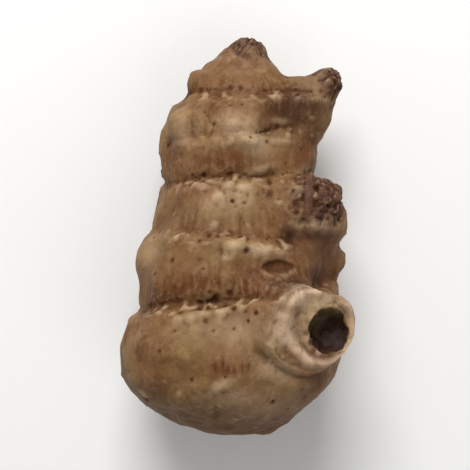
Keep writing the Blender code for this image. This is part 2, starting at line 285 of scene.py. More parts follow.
# Scaly buds, as on the solid: centre, direction they face, radius, number of scales.
SCALE_SPREAD = 0.22  # how much the scales differ, as a share
BUDS = (
    ((13.7, 6.3, 21.3), (0.42, 0.38, 0.82), 5.0, 17),
    ((16.3, 28.0, 14.2), (0.80, 0.58, 0.14), 3.2, 8),
    ((-11.6, 13.1, 4.0), (-0.86, 0.14, -0.30), 2.8, 7),
    ((1.6, 33.0, 12.6), (0.10, 0.98, 0.12), 3.8, 10),
)

# The scale leaf that stands along the big bud: x, y, half width, half length, turn and height.
SHEATH = (11.8, 8.2, 0.7, 5.6, -3, 0.60)

# The smooth side of the knob under the big bud: x, y and radius.
KNOB_SIDE = (14.0, -0.6, 4.4)

# Stem scar: middle of its mouth, the way that it opens, and radius and depth of its hollow.
SCAR_MOUTH = (15.8, -15.0, 31.2)
SCAR_AXIS = (0.46, -0.04, 0.89)
SCAR_RADIUS = 3.4
SCAR_DEPTH = 4.6
SCAR_CLEAR = (8.5, 11.5)  # from where to where the rings fade in, away from its mouth
SCAR_WIDEST = -1.3  # where its hollow is widest, in radians from +X towards the bud end
SCAR_FLUSH = -1.75  # where its edge is purple
# The gap outside the ridge is painted, not modelled: a brown line with painted shade.
SCAR_GAP = -2.7  # where a brown gap runs outside its ridge

# The flesh round the scar, by angle from +X towards the bud end: radius and height of the shelf round
# the hollow, of the ridge's crest and of the foot outside it, and how pale the crest and the shelf are.
SCAR_FLESH = (
    (-162, 5.2, -1.20, 7.2, -0.55, 10.6, -0.90, 0.95, 0.40),
    (-145, 5.0, -1.35, 6.5, -0.45, 9.6, -1.10, 0.86, 0.10),
    (-120, 4.9, -1.30, 6.3, -0.35, 8.0, -1.40, 1.00, 0.00),
    (-90, 4.7, -0.90, 5.6, -0.15, 6.3, -0.80, 0.70, 0.00),
    (-50, 4.3, -0.50, 4.7, -0.40, 5.0, -0.90, 0.60, 0.30),
    (0, 4.2, -0.50, 4.6, -0.35, 5.0, -0.90, 0.60, 0.40),
    (45, 4.5, -0.50, 5.2, -0.40, 5.8, -0.90, 0.80, 0.70),
    (90, 4.9, -0.60, 5.7, -0.50, 6.3, -1.00, 1.00, 1.00),
    (120, 5.4, -0.75, 7.2, -0.50, 8.4, -1.60, 1.00, 1.00),
    (150, 5.8, -1.00, 9.0, 0.05, 10.6, -0.30, 1.00, 0.55),
    (178, 5.8, -1.15, 9.2, -0.05, 11.4, -0.60, 1.00, 0.50),
)

# How the painted shade finds the hollows of the finished skin: passes that even it out, and the depth
# that counts.
FINE_HOLLOWS = (5, 0.12)
BROAD_HOLLOWS = (44, 0.9)

GRAIN_DEPTH = 0.2  # of the leathery grain that the material adds

CROWN_REACH = 0.6  # how far from a place on the floor the crown's highest point may be
OVAL_REACH = 2.4  # how far an oval's points are gathered, over its larger half size

# The marks that the mesh code leaves on the skin for the material, each from 0 to 1.
MARKS = "crease pale rust plum hollow heart collar furrow soil cavity valley".split()

# The stage: where the lights come from, how far off and how large they are, in metres.
KEY_SIDE = -0.12
KEY_PLACE = (0.6, 0.35)
FILL_FROM = (0.55, -0.8, 0.9)
FILL_PLACE = (0.7, 0.6)
SKY_COLOUR = (1.0, 0.98, 0.95, 1.0)


def linear(red, green, blue):
    """A colour given as the 0 to 255 values of a screen, in the linear light that shaders use."""
    return (*((((c / 255 + 0.055) / 1.055) ** 2.4) for c in (red, green, blue)), 1.0)


def colour(name, description, *screen_values):
    """A setting for a colour."""
    return FloatVectorProperty(
        name=name, description=description, default=linear(*screen_values), subtype="COLOR", size=4
    )


def whole_number(name, description, default):
    """A setting for how many there are of something."""
    return IntProperty(name=name, description=description, default=default, min=0)


class TuberSkinSettings(PropertyGroup):
    """Sizes and colours of the skin."""

    mesh_size: FloatProperty(
        name="Mesh size", description="Spacing of the skin's mesh", default=0.34 * MM, unit="LENGTH"
    )
    wrinkles: FloatProperty(
        name="Wrinkles",
        description="Depth of the wrinkles along the body",
        default=0.13 * MM,
        unit="LENGTH",
    )
    smoothing: whole_number("Smoothing", "Passes that round off the solid's facets", 6)
    ring_pores: whole_number("Ring pores", "Number of scattered pores in each ring", 18)
    pits: whole_number("Pits", "Number of dark pits all over the skin", 70)
    warts: whole_number("Warts", "Number of pale warts all over the skin", 110)
    seed: IntProperty(name="Seed", description="Where the scattered specks fall", default=11)
    tan: colour("Tan", "Clean skin", 132, 102, 62)
    rosy: colour("Rosy", "Pinkish skin", 127, 90, 55)
    brown: colour("Brown", "Darker skin", 97, 62, 25)
    rust: colour("Rust", "Red-brown skin above the rings", 95, 50, 18)
    pale: colour("Pale", "Lumps and rubbed skin", 176, 148, 116)
    flesh: colour("Flesh", "Ridge round the stem scar", 194, 166, 138)
    # The crease colour is painted shade in the ring creases, the eye's fold, the gap outside the scar's
    # ridge and the skin's hollows, and the skin's own dark colour on pores, ticks, dents and flecks.
    crease: colour("Crease", "Ring creases, pores and dirt", 64, 34, 10)
    plum: colour("Plum", "Scales of the buds, and flushed skin", 80, 50, 43)
    hollow: colour("Hollow", "Walls of the stem scar's hollow", 86, 69, 46)
    heart: colour("Heart", "Darker side of the stem scar's hollow", 37, 20, 15)
    # The soil colour is the skin's own soil on the buds and the soiled patches, and painted shade low on
    # the tuber, on its base end and on the upper right knob.
    soil: colour("Soil", "Soiled skin", 66, 39, 18)


class TuberStageSettings(PropertyGroup):
    """The floor, the lights and the camera."""

    floor_size: FloatProperty(
        name="Floor size", description="Side of the floor", default=4.0, unit="LENGTH"
    )
    floor_colour: FloatVectorProperty(
        name="Floor",
        description="Colour of the floor",
        default=(0.88, 0.88, 0.87, 1.0),
        subtype="COLOR",
        size=4,
    )
    key_power: FloatProperty(name="Key", description="Power of the key light", default=4.0, unit="POWER")
    key_height: FloatProperty(
        name="Key height",
        description="Angle of the key light above the floor",
        default=math.radians(42),
        subtype="ANGLE",
    )
    fill_power: FloatProperty(
        name="Fill", description="Power of the fill light", default=0.95, unit="POWER"
    )
    sky: FloatProperty(name="Sky", description="Strength of the light from all sides", default=0.32)
    lens: FloatProperty(name="Lens", description="Focal length", default=100.0, unit="CAMERA")
    margin: FloatProperty(
        name="Margin", description="Height of the picture over the tuber's length", default=1.16
    )


# ---- The skin's mesh


class Skin:
    """The skin's points while it is raised, in millimetres along the solid's own axes."""

    def __init__(self, mesh):
        self.mesh = mesh
        count = len(mesh.vertices)
        points = np.empty(count * 3, np.float32)
        mesh.vertices.foreach_get("co", points)
        self.points = (points.reshape(-1, 3).astype(float) - ORIGIN) / MM
        self.height = np.zeros(count)
        self.moves = np.zeros((count, 3))
        self.marks = {name: np.zeros(count) for name in MARKS}
        self.read_normals()
        self.tree = kdtree.KDTree(count)
        for index, point in enumerate(self.points.tolist()):
            self.tree.insert(point, index)
        self.tree.balance()
        self.open = self.open_skin()
        self.bare = np.ones(count)
        stations = np.array(CENTRE_LINE)
        self.centre_x = np.interp(self.points[:, 1], stations[:, 0], stations[:, 1])
        centre_z = np.interp(self.points[:, 1], stations[:, 0], stations[:, 2])
        self.angle = np.arctan2(self.points[:, 2] - centre_z, self.points[:, 0] - self.centre_x)

    def read_normals(self):
        """Reads the way that the skin faces at each point."""
        normals = np.empty(len(self.mesh.vertices) * 3, np.float32)
        self.mesh.vertex_normals.foreach_get("vector", normals)
        self.normals = normals.reshape(-1, 3).astype(float)

    def open_skin(self):
        """1 on the open skin, falling to 0 on the buds, the stem scar and the knob's smooth side."""
        share = np.ones(len(self.points))
        scaly = [(centre, radius) for centre, _, radius, _ in BUDS]
        smooth = [(SCAR_MOUTH, 1.35 * SCAR_RADIUS), (self.crown(*KNOB_SIDE[:2]), KNOB_SIDE[2])]
        for centre, radius in (*scaly, *smooth):
            away = np.linalg.norm(self.points - np.array(centre), axis=1) / radius
            share *= step_up(away, 0.85, 1.35)
        return share

    def rise(self):
        """Moves every point by its own move and out along its normal. None sinks into the floor."""
        self.points += self.moves + self.normals * self.height[:, None]
        self.points[:, 2] = np.maximum(self.points[:, 2], 0.0)
        self.mesh.vertices.foreach_set("co", (self.points * MM + ORIGIN).astype(np.float32).ravel())
        self.mesh.update()
        self.read_normals()

    def mark(self, name, strength, where=slice(None)):
        """Deepens a mark to at least this strength."""
        marks = self.marks[name]
        marks[where] = np.maximum(marks[where], strength)

    def near(self, centre, reach):
        """Indices of the points within reach of a centre."""
        return np.array([found[1] for found in self.tree.find_range(centre, reach)], int)

    def crown(self, x, y):
        """The highest point of the skin above a place on the floor."""
        away = np.hypot(self.points[:, 0] - x, self.points[:, 1] - y)
        close = np.where(away < CROWN_REACH)[0]
        if not len(close):
            raise ValueError(f"no skin above x {x}, y {y}")
        return self.points[close[np.argmax(self.points[close, 2])]]

    def hollowness(self, passes):
        """How far each point lies below the average of its surroundings, in millimetres."""
        ends = np.empty(len(self.mesh.edges) * 2, np.int32)
        self.mesh.edges.foreach_get("vertices", ends)
        first, second = ends.reshape(-1, 2).T
        count = len(self.points)
        neighbours = np.bincount(first, minlength=count) + np.bincount(second, minlength=count)
        evened = self.points.copy()
        for _ in range(passes):
            for axis in range(3):
                values = evened[:, axis]
                total = np.bincount(first, values[second], count)
                total += np.bincount(second, values[first], count)
                evened[:, axis] = 0.5 * values + 0.5 * total / neighbours
        return np.sum((evened - self.points) * self.normals, axis=1)

    def keep_marks(self):
        """Stores the marks on the mesh, for the material."""
        for name, values in self.marks.items():
            attribute = self.mesh.attributes.new(name, "FLOAT", "POINT")
            attribute.data.foreach_set("value", np.clip(values, 0, 1).astype(np.float32))


def apply_modifiers(piece):
    """Replaces the piece's mesh by what its modifiers make of it."""
    graph = bpy.context.evaluated_depsgraph_get()
    mesh = bpy.data.meshes.new_from_object(piece.evaluated_get(graph))
    piece.modifiers.clear()
    piece.data = mesh


def even_copy(settings):
    """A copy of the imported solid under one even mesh, with its facets rounded off."""
    bm = bmesh.new()
    bm.from_mesh(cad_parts["tuber"].data)
    bmesh.ops.remove_doubles(bm, verts=bm.verts, dist=WELD)
    mesh = bpy.data.meshes.new("tuber_skin")
    bm.to_mesh(mesh)
    bm.free()
    piece = bpy.data.objects.new("tuber_skin", mesh)
    bpy.context.scene.collection.objects.link(piece)
    rounded = piece.modifiers.new("rounded", "SUBSURF")
    rounded.levels = rounded.render_levels = 1
    even = piece.modifiers.new("even", "REMESH")
    even.mode = "VOXEL"
    even.voxel_size = settings.mesh_size
    soft = piece.modifiers.new("soft", "SMOOTH")
    soft.factor = 0.5
    soft.iterations = settings.smoothing
    apply_modifiers(piece)
    return piece


def bumps(points, count, offset=0.0):
    """Noise from about -1 to 1 at each point, with about this many bumps to a millimetre.

    The offset says which stretch of the noise is read, so that no two patterns look alike.
    """
    return np.array([noise.noise(point) for point in (points * count + offset).tolist()])


def step_up(values, start, end):
    """A smooth step from 0 at start to 1 at end."""
    t = np.clip((values - start) / (end - start), 0, 1)
    return t * t * (3 - 2 * t)


def along_body(points, share):
    """The points squeezed along the body, so that noise read there runs along it."""
    return points * (1.0, share, 1.0)


def bell(values, width):
    """A smooth hump, 1 at 0 and about a third at this width."""
    return np.exp(-((values / width) ** 2))


def on_circle(angle, radius):
    """Places on a circle, where noise closes on itself as the angle goes round."""
    return np.stack((np.cos(angle), np.sin(angle), np.zeros(len(angle))), 1) * radius


def ring_course(skin, number, crown, slope):
    """How far each point lies past a ring towards the bud end, and how strong the ring is there."""
    circle = on_circle(skin.angle, RING_NOISE_RADIUS)
    level = np.array((0, 0, RING_NOISE_STEP * number))
    line = crown + slope * (skin.points[:, 0] - skin.centre_x) + RING_WAVER * bumps(circle, 1.0, level)
    mean, swing, most = RING_FADE
    fade = np.clip(mean + swing * bumps(circle, 1.0, level + (0, 0, 3.1)), 0, most)
    return skin.points[:, 1] - line, 1 - fade * (1 - np.maximum(np.sin(skin.angle), 0))


def crease_shade(skin, base, places, number):
    """Darkness of a ring's crease, partly painted shade in its groove and partly dark pores: set by place
    on the crown, and by chance round the rest.
    """
    x = skin.points[:, 0]
    crown = np.full(len(x), base)
    for middle, half_width, darkness in places:
        crown = np.maximum(crown, darkness * bell(x - middle, half_width))
    streaky = bumps(along_body(skin.points, 0.2), 0.13, 3.0 + 11.0 * number)
    chance = np.clip(0.35 + 1.5 * streaky, 0.1, 1)
    on_crown = step_up(np.sin(skin.angle), 0.45, 0.75)
    return chance + (crown - chance) * on_crown


def raise_rings(skin, rng, settings):
    """The rings: a ragged crease with pores, a lumpy pale lip below it, and wrinkles above it."""
    points = skin.points
    ragged = 0.42 * bumps(points, 0.75) + 0.34 * bumps(points, 1.7, 5.0)
    broken = np.clip(0.62 + 1.9 * bumps(points, 0.85, 33.0), 0.12, 1.25)
    blotch = np.clip(0.75 + 1.2 * bumps(points, 0.28, 44.0), 0.2, 1.1)
    upright = step_up(bumps(along_body(points, 0.14), 0.85, 21.0), 0.02, 0.50)
    crown_side = step_up(np.sin(skin.angle), 0.25, 0.75)
    grouped = 0.15 + 0.75 * step_up(bumps(points, 0.22, 91.0), -0.05, 0.30)
    lumps = np.clip(-0.05 + 2.2 * bumps(points, 0.62, 9.0), 0, 1)
    lumps *= grouped + (1 - grouped) * crown_side
    clear_of_scar = step_up(np.linalg.norm(points - np.array(SCAR_MOUTH), axis=1), *SCAR_CLEAR)
    for number, (ring, places) in enumerate(zip(RINGS, DARK_PLACES)):
        crown, slope, depth, fill, lip, wrinkling, base = ring
        past, strength = ring_course(skin, number, crown, slope)
        strength = strength * skin.open * clear_of_scar
        off = past + ragged
        full = min(1.0, depth / FULL_CREASE)

        shade = crease_shade(skin, base, places, number) * full
        crease_reach = CREASE_REACH[0] + CREASE_REACH[1] * shade * broken
        crease = bell(off, crease_reach) * strength * np.minimum(broken, 1)
        skin.height += fill * bell(past, GROOVE_REACH) * strength * (1 - shade)
        skin.height -= depth * crease * (0.10 + 0.90 * shade)
        # Partly painted shade in the groove, which darkens where it is cut deepest, and partly the ring's
        # dark pores.
        skin.mark("crease", np.clip(1.1 * crease * shade, 0, 1))
        skin.mark("rust", 0.7 * bell(off, CREASE_RUST_REACH) * strength * full)

        on_lip = bell(off + LIP_BELOW, LIP_REACH) * lumps * strength
        skin.height += lip * on_lip
        skin.mark("pale", (0.5 + 0.4 * crown_side) * on_lip * min(1.0, lip / FULL_LIP))

        above = step_up(off, -0.1, 0.5) * bell(np.maximum(off, 0), WRINKLE_REACH) * strength
        skin.height -= WRINKLE_DEPTH * wrinkling * above * upright
        skin.mark("furrow", wrinkling * above * upright)
        skin.mark("rust", wrinkling * blotch * above)

        radii, darkness, spacing = RING_PORE
        chance = bell(past + 0.4, 0.8) * strength * (0.15 + shade) + 1e-12  # never quite none
        for point in sprinkle(skin, rng, chance, int(settings.ring_pores * full), spacing):
            sink_pore(skin, point, rng.uniform(*radii), rng.uniform(*darkness))


def raise_flesh(skin, settings):
    """Uneven flesh all over: soft dents, wrinkles along the body and a fine leathery grain."""
    points = skin.points
    share = 0.25 + 0.75 * skin.open
    rough = np.clip(0.5 + 1.2 * bumps(points, 0.09, 63.0), 0.1, 1.2)
    skin.height += share * (0.30 * bumps(points, 0.16, 2.0) + 0.18 * bumps(points, 0.40, 6.0))
    skin.height += share * rough * (0.085 * bumps(points, 0.9, 17.0) + 0.05 * bumps(points, 1.9, 40.0))
    slack = np.clip(0.35 + 1.6 * bumps(points, 0.10, 30.0), 0, 1) * skin.open
    slack *= step_up(1 - np.abs(skin.normals[:, 1]), 0.15, 0.55)
    folds = np.clip(1 - np.abs(bumps(along_body(points, 0.22), 0.45, 14.0)) / 0.35, 0, 1)
    skin.height -= settings.wrinkles / MM * folds**2 * slack
    skin.mark("furrow", 0.25 * folds**3 * slack)


def oval(skin, x, y, half_length, half_width, turn):
    """The points near a place on the crown, and their distance from it as a share of an oval's size."""
    centre = skin.crown(x, y)
    larger = max(half_length, half_width)
    close = skin.near(centre, OVAL_REACH * larger)
    offsets = skin.points[close] - centre
    cosine, sine = math.cos(math.radians(turn)), math.sin(math.radians(turn))
    along = offsets[:, 0] * cosine + offsets[:, 1] * sine
    across = offsets[:, 1] * cosine - offsets[:, 0] * sine
    away = np.stack((along / half_length, across / half_width, offsets[:, 2] / larger))
    return close, np.linalg.norm(away, axis=0)


def each_oval(skin, rows, edge):
    """Each row's points, their distance with an even and with an uneven edge, and its last values."""
    for x, y, half_length, half_width, turn, *values in rows:
        close, away = oval(skin, x, y, half_length, half_width, turn)
        yield close, away, away * edge[close], *values


def raise_features(skin):
    """All that has a place of its own: lumps, patches, dents, ticks, pores, the eye and the sheath."""
    edge = 1 + 0.35 * bumps(skin.points, 0.9, 101.0)
    for close, _, rough, rise, paleness in each_oval(skin, LUMPS, edge):
        skin.height[close] += rise * bell(rough, 1.0)
        skin.mark("pale", paleness * bell(rough, 1.1), close)
    for close, _, rough, amount in each_oval(skin, RUBBED_AND_PAINTED_LIGHT, edge):
        skin.mark("pale", amount * bell(rough, 1.1), close)
    for close, _, rough, amount in each_oval(skin, BROWNED, edge):
        patch = bell(rough, 1.05)
        skin.mark("rust", min(amount, 1.0) * patch, close)
        skin.mark("soil", max(amount - 1.0, 0.0) * patch, close)
    for close, _, rough, amount in each_oval(skin, FLUSHED, edge):
        skin.mark("plum", amount * bell(rough, 1.05), close)
    for close, away, rough, depth, darkness in each_oval(skin, DENTS, edge):
        skin.height[close] -= depth * bell(away, 1.0)
        skin.mark("rust", min(1.0, 1.2 * darkness) * bell(rough, 1.2), close)
        skin.mark("crease", darkness * bell(rough, 0.75), close)
    ticks = [(x, y, half_length, TICK_HALF_WIDTH, 90) for x, y, half_length in TICKS]
    for close, _, rough in each_oval(skin, ticks, edge):
        skin.height[close] -= TICK_DEPTH * bell(rough, 1.0)
        skin.mark("rust", bell(rough, 1.2), close)
        skin.mark("crease", 0.30 * bell(rough, 1.0), close)
    for x, y, radius, darkness in PORES:
        sink_pore(skin, skin.crown(x, y), radius, darkness)
    fold_eye(skin, *EYE)
    raise_sheath(skin, edge, *SHEATH)


def raise_sheath(skin, edge, x, y, half_width, half_length, turn, height):
    """A purple scale leaf, veined along its length, that stands along the big bud, with a painted
    highlight down its middle.
    """
    close, away = oval(skin, x, y, half_width, half_length, turn)
    sheath = 1 - step_up(away * edge[close], 0.65, 1.2)
    veins = bumps(skin.points[close] * (1.8, 0.25, 1.8), 1.0, 7.0)
    skin.bare[close] -= sheath
    skin.height[close] += height * sheath * (1 + 0.5 * veins)
    skin.mark("plum", np.clip(0.85 + 0.5 * veins, 0.4, 1) * sheath, close)
    skin.mark("rust", sheath, close)
    # Painted highlight down the middle of the leaf.
    skin.mark("pale", 0.3 * bell(away, 0.35), close)


def fold_eye(skin, x, y, half_length, rise, drop, depth):
    """A folded eye: a crease under an arched lid, darkened with painted shade, over a brown hollow that
    is also darkened with painted shade, and that ends in a soft lip.
    """
    centre = skin.crown(x, y)
    close = skin.near(centre, 1.6 * half_length)
    across, along, _ = (skin.points[close] - centre).T
    share = np.clip(across / half_length, -1.3, 1.3)
    below_lid = rise * (1 - share**2) - along
    above_lip = along + drop * (1 - share**2)
    ends = 1 - step_up(np.abs(share), 0.75, 1.15)
    fold = bell(below_lid, 0.34) * ends
    hollow = step_up(below_lid, -0.2, 0.3) * step_up(above_lip, -0.3, 0.7) * ends
    lid = bell(below_lid + 0.7, 0.5) * ends
    skin.height[close] += 0.3 * depth * lid - depth * hollow * np.clip(1 - 0.4 * below_lid, 0.2, 1)
    skin.marks["pale"][close] *= 1 - hollow
    # Painted shade: the fold under the lid and the hollow are darkened, in place of a deeper cut.
    skin.mark("crease", np.maximum(0.65 * fold, 0.38 * hollow), close)
    skin.mark("rust", hollow, close)
    skin.mark("pale", 0.3 * bell(above_lip + 0.3, 0.4) * ends, close)


def sink_pore(skin, centre, radius, darkness):
    """A small dark pit with an uneven edge."""
    close = skin.near(centre, 3.2 * radius)
    offsets = skin.points[close] - centre
    uneven = 1 + 0.45 * bumps(offsets, 0.55 / radius, centre * 3.1)
    away = np.linalg.norm(offsets, axis=1) / radius * uneven
    skin.height[close] -= 0.55 * radius * bell(away, 0.95)
    skin.mark("crease", darkness * bell(away, 0.95), close)
    skin.mark("rust", 0.8 * darkness * bell(away, 1.6), close)


def raise_wart(skin, centre, radius, paleness):
    """A small pale wart with an uneven edge."""
    close = skin.near(centre, 3.2 * radius)
    offsets = skin.points[close] - centre
    uneven = 1 + 0.55 * bumps(offsets, 0.5 / radius, centre * 2.3)
    away = np.linalg.norm(offsets, axis=1) / radius * uneven
    skin.height[close] += 0.36 * radius * bell(away, 1.0)
    skin.mark("pale", paleness * bell(away, 1.0), close)


def sprinkle(skin, rng, chance, count, spacing):
    """Up to count points of the skin, drawn by their chance and kept apart."""
    drawn = rng.choice(len(chance), size=3 * count, replace=False, p=chance / chance.sum())
    kept = []
    for index in drawn:
        point = skin.points[index]
        if all(np.linalg.norm(point - other) > spacing for other in kept):
            kept.append(point.copy())
        if len(kept) == count:
            break
    return kept


def scatter_specks(skin, rng, settings):
    """Dark pits and pale warts, in loose groups over the open skin."""
    for place_speck, kind, count, group_size, offset in (
        (sink_pore, PIT, settings.pits, 0.12, 50.0),
        (raise_wart, WART, settings.warts, 0.15, 80.0),
    ):
        radii, strengths, spacing = kind
        groups = skin.open * np.clip(0.25 + 1.6 * bumps(skin.points, group_size, offset), 0.03, 1)
        for point in sprinkle(skin, rng, groups, count, spacing):
            place_speck(skin, point, rng.uniform(*radii), rng.uniform(*strengths))


def scale_middles(radius, scales):
    """Where a bud's scales sit on the solid, across the bud's direction, by the solid's own draws."""
    draw = random.Random(scales)

    def vary():
        return draw.uniform(1 - SCALE_SPREAD, 1 + SCALE_SPREAD)

    middles = []
    for k in range(scales):
        vary()
        out = radius * min(1.0, math.sqrt((k + 0.3) / scales) * vary())
        angle = k * math.pi * (3 - math.sqrt(5)) + vary() - 1
        vary()
        middles.append((out * math.cos(angle), out * math.sin(angle)))
    return np.array(middles)


def raise_bud(skin, centre, direction, radius, scales):
    """Ragged scales over the solid's own, with dark gaps between them and a scurfy foot round them."""
    first, second, axis = np.array(Vector(direction).to_track_quat("Z", "Y").to_matrix()).T
    close = skin.near(centre, 1.9 * radius)
    offsets = skin.points[close] - np.array(centre)
    place = np.stack((offsets @ first, offsets @ second), 1)
    out = np.linalg.norm(place, axis=1) / radius
    facing = step_up(skin.normals[close] @ axis, -0.35, 0.25)
    wander = 0.30 * bumps(offsets, 0.55, 77.0)
    inside = (1 - step_up(out + wander, 0.90, 1.25)) * facing * skin.bare[close]

    # A point belongs to the nearest scale, and is on a split where the next one is as near.
    middles = scale_middles(radius, scales)
    warped = place + 0.45 * np.stack((bumps(offsets, 0.8, 3.0), bumps(offsets, 0.8, 8.0)), 1)
    reach = np.linalg.norm(warped[:, None, :] - middles[None], axis=2)
    order = np.argsort(reach, axis=1)
    own = order[:, 0]
    nearest = np.take_along_axis(reach, order[:, :2], axis=1)
    size = 1.75 * radius / math.sqrt(scales)
    split = bell((nearest[:, 1] - nearest[:, 0]) / size, 0.16)

    # Scales lean in over each other. Their fibres run out from the bud's middle.
    inward = -middles / np.linalg.norm(middles, axis=1)[:, None]
    lean = np.sum((warped - middles[own]) * inward[own], axis=1) / size
    rays = on_circle(np.arctan2(place[:, 1], place[:, 0]), 2.6) + 3.7 * own[:, None]
    rays[:, 2] += 0.5 * radius * out
    fibres = 0.7 * bumps(rays, 1.0, 12.0) + 0.6 * bumps(offsets, 1.3, 15.0)
    pits = step_up(bumps(offsets, 0.95, 55.0), 0.18, 0.40) * (1 - step_up(out, 0.72, 0.98))
    skin.height[close] += inside * (0.34 * lean + 0.22 * fibres - 0.34 * split - 0.48 * pits)

    tint = np.random.default_rng(scales).uniform(0.2, 0.6, scales)[own]
    heart = inside * (1 - step_up(out + 2 * wander, 0.50, 0.95))
    flecks = step_up(bumps(offsets, 1.5, 61.0), 0.20, 0.42)
    patchy = np.clip(tint + 0.25 + 0.9 * bumps(offsets, 0.6, 64.0), 0.1, 0.9)
    dark = np.maximum(split * np.clip(0.6 + fibres, 0.2, 0.8), 0.95 * pits)
    skin.mark("plum", np.maximum(heart, 0.35 * inside) * patchy * (1 - 0.8 * flecks), close)
    skin.mark("crease", inside * dark, close)
    skin.mark("rust", inside, close)
    skin.mark("soil", 0.8 * inside, close)
    skin.mark("pale", 0.55 * inside * flecks * (1 - dark), close)

    foot = bell(out + wander - 1.28, 0.24) * facing
    skin.mark("pale", 0.34 * foot * np.clip(0.4 + 1.3 * bumps(offsets, 0.45, 31.0), 0, 1), close)
    skin.mark("rust", 0.6 * foot, close)


class StemScar:
    """The skin's points as the stem scar sees them: up its axis, round it and away from it."""

    def __init__(self, skin):
        axis = Vector(SCAR_AXIS).normalized()
        outward = Vector((axis.z, 0, -axis.x)).normalized()
        self.axis = np.array(axis)
        self.outward = np.array(outward)
        self.onward = np.array(axis.cross(outward))
        offsets = skin.points - np.array(SCAR_MOUTH)
        self.up = offsets @ self.axis
        self.right = offsets @ self.outward
        self.ahead = offsets @ self.onward
        self.away = np.hypot(self.right, self.ahead)
        self.angle = np.arctan2(self.ahead, self.right)
        self.around = on_circle(self.angle, 1.0)
        self.chips = bumps(self.around * 3.0 + skin.points * 0.15, 1.0, 70.0)


def scar_flesh(angle):
    """The columns of the table of the scar's flesh, at each angle."""
    stations = np.array(SCAR_FLESH)
    turned = np.degrees(angle)
    return [np.interp(turned, stations[:, 0], column, period=360) for column in stations[:, 1:].T]


def widen_hollow(skin, scar):
    """Pushes the hollow's upper wall out, unevenly, and returns how far."""
    uneven = 0.36 * bumps(scar.around, 1.6, 66.0) + 0.12 * bumps(scar.around, 4.2, 68.0)
    wider = 0.08 + 0.40 * np.maximum(np.cos(scar.angle - SCAR_WIDEST), 0) + uneven
    wall = step_up(scar.away, 2.2, 3.3) * (1 - step_up(scar.away, 3.8, 5.0))
    push = wider * (wall * step_up(scar.up, -4.6, -3.0))
    cosine, sine = np.cos(scar.angle)[:, None], np.sin(scar.angle)[:, None]
    skin.moves += push[:, None] * (cosine * scar.outward + sine * scar.onward)
    return push


def roughen_hollow(skin, scar):
    """Fibres and clods on the walls and the floor of the hollow, which is darker on its base side."""
    close = (scar.away < 1.5 * SCAR_RADIUS) & (scar.up > -SCAR_DEPTH - 2.5)
    inner = (1 - step_up(scar.away - 0.25 * scar.chips, 3.45, 3.80)) * close
    fibres = bumps(scar.around * 3.4 + skin.points * 0.2, 1.0, 60.0)
    fibres += 0.5 * bumps(skin.points, 1.4, 62.0)
    clods = bumps(skin.points, 0.6, 64.0)
    skin.height += inner * (0.30 * fibres + 0.55 * clods)
    skin.mark("hollow", inner)
    base_side = 0.6 * scar.right - 0.8 * scar.ahead + 1.8 * clods
    skin.mark("heart", inner * step_up(base_side, -1.2, 1.0))


def raise_scar(skin):
    """The stem scar: an uneven edge, fibrous walls, and a shelf and a pale fleshy ridge round it."""
    scar = StemScar(skin)
    radius = scar.away + widen_hollow(skin, scar)
    shelf_at, shelf, crest_at, crest, foot_at, foot, crest_pale, shelf_pale = scar_flesh(scar.angle)

    # The flesh is brought to the level that the table gives, with a chipped edge round the hollow.
    level = shelf + (crest - shelf) * step_up(radius, shelf_at, crest_at)
    level += (foot - crest) * step_up(radius, crest_at, foot_at)
    level += 0.55 * scar.chips * bell(radius - 4.2, 0.9) + 0.12 * bumps(skin.points, 0.7, 72.0)
    below = level - scar.up
    lower = np.minimum(below, 0) * step_up(radius, 2.6, 3.4)
    lift = np.maximum(below, 0) * step_up(radius, 4.1, 4.9) * (1 - step_up(below, 1.2, 2.2))
    here = (1 - step_up(radius, foot_at, foot_at + 1.2)) * (1 - step_up(scar.up, 2.5, 4.0))
    here = here * (scar.up > -7)
    skin.moves += ((lower + lift) * here)[:, None] * scar.axis

    roughen_hollow(skin, scar)

    soft = np.clip(0.75 + 0.8 * bumps(skin.points, 0.45, 80.0), 0.3, 1.1) * here
    on_crest = bell(radius - crest_at, 0.55 * (crest_at - shelf_at) + 0.35) * (below < 1.5)
    skin.mark("collar", np.clip(1.25 * crest_pale * on_crest * soft, 0, 1))
    on_shelf = step_up(radius, 3.7, 4.1) * (1 - step_up(radius, shelf_at + 0.3, crest_at)) * here
    skin.mark("pale", shelf_pale * on_shelf)
    skin.mark("rust", (0.75 - 1.4 * shelf_pale) * on_shelf)
    torn = bell(radius - 4.25, 0.45) * here
    skin.mark("pale", torn * step_up(scar.chips, 0.05, 0.3))
    skin.mark("rust", 0.9 * torn * step_up(-scar.chips, 0.0, 0.3))
    skin.mark("plum", 0.55 * bell(scar.angle - SCAR_FLUSH, 0.5) * bell(radius - 4.9, 0.8) * here)
    # Painted shade: a brown line darkened like a trough, with no trough in the mesh.
    gap = bell(radius - crest_at - 1.5, 0.5) * bell(scar.angle - SCAR_GAP, 0.32) * here
    skin.mark("rust", gap)
    skin.mark("crease", 0.3 * gap)


def paint_shade(skin):
    """Painted shade: the soil colour low on the tuber and on its base end, and darker skin in every
    hollow of the finished skin.
    """
    points = skin.points
    # Painted shade in the soil colour, growing darker towards the floor and towards the base end.
    low = 1 - step_up(points[:, 2] + 2.5 * bumps(points, 0.12, 90.0), 3.0, 14.0)
    base = 1 - step_up(points[:, 1] + 2.4 * bumps(points, 0.15, 95.0), -34.0, -21.0)
    skin.mark("soil", 0.75 * low)
    skin.mark("soil", 0.62 * base)
    for name, (passes, depth) in (("cavity", FINE_HOLLOWS), ("valley", BROAD_HOLLOWS)):
        skin.mark(name, 0.5 + skin.hollowness(passes) / depth)


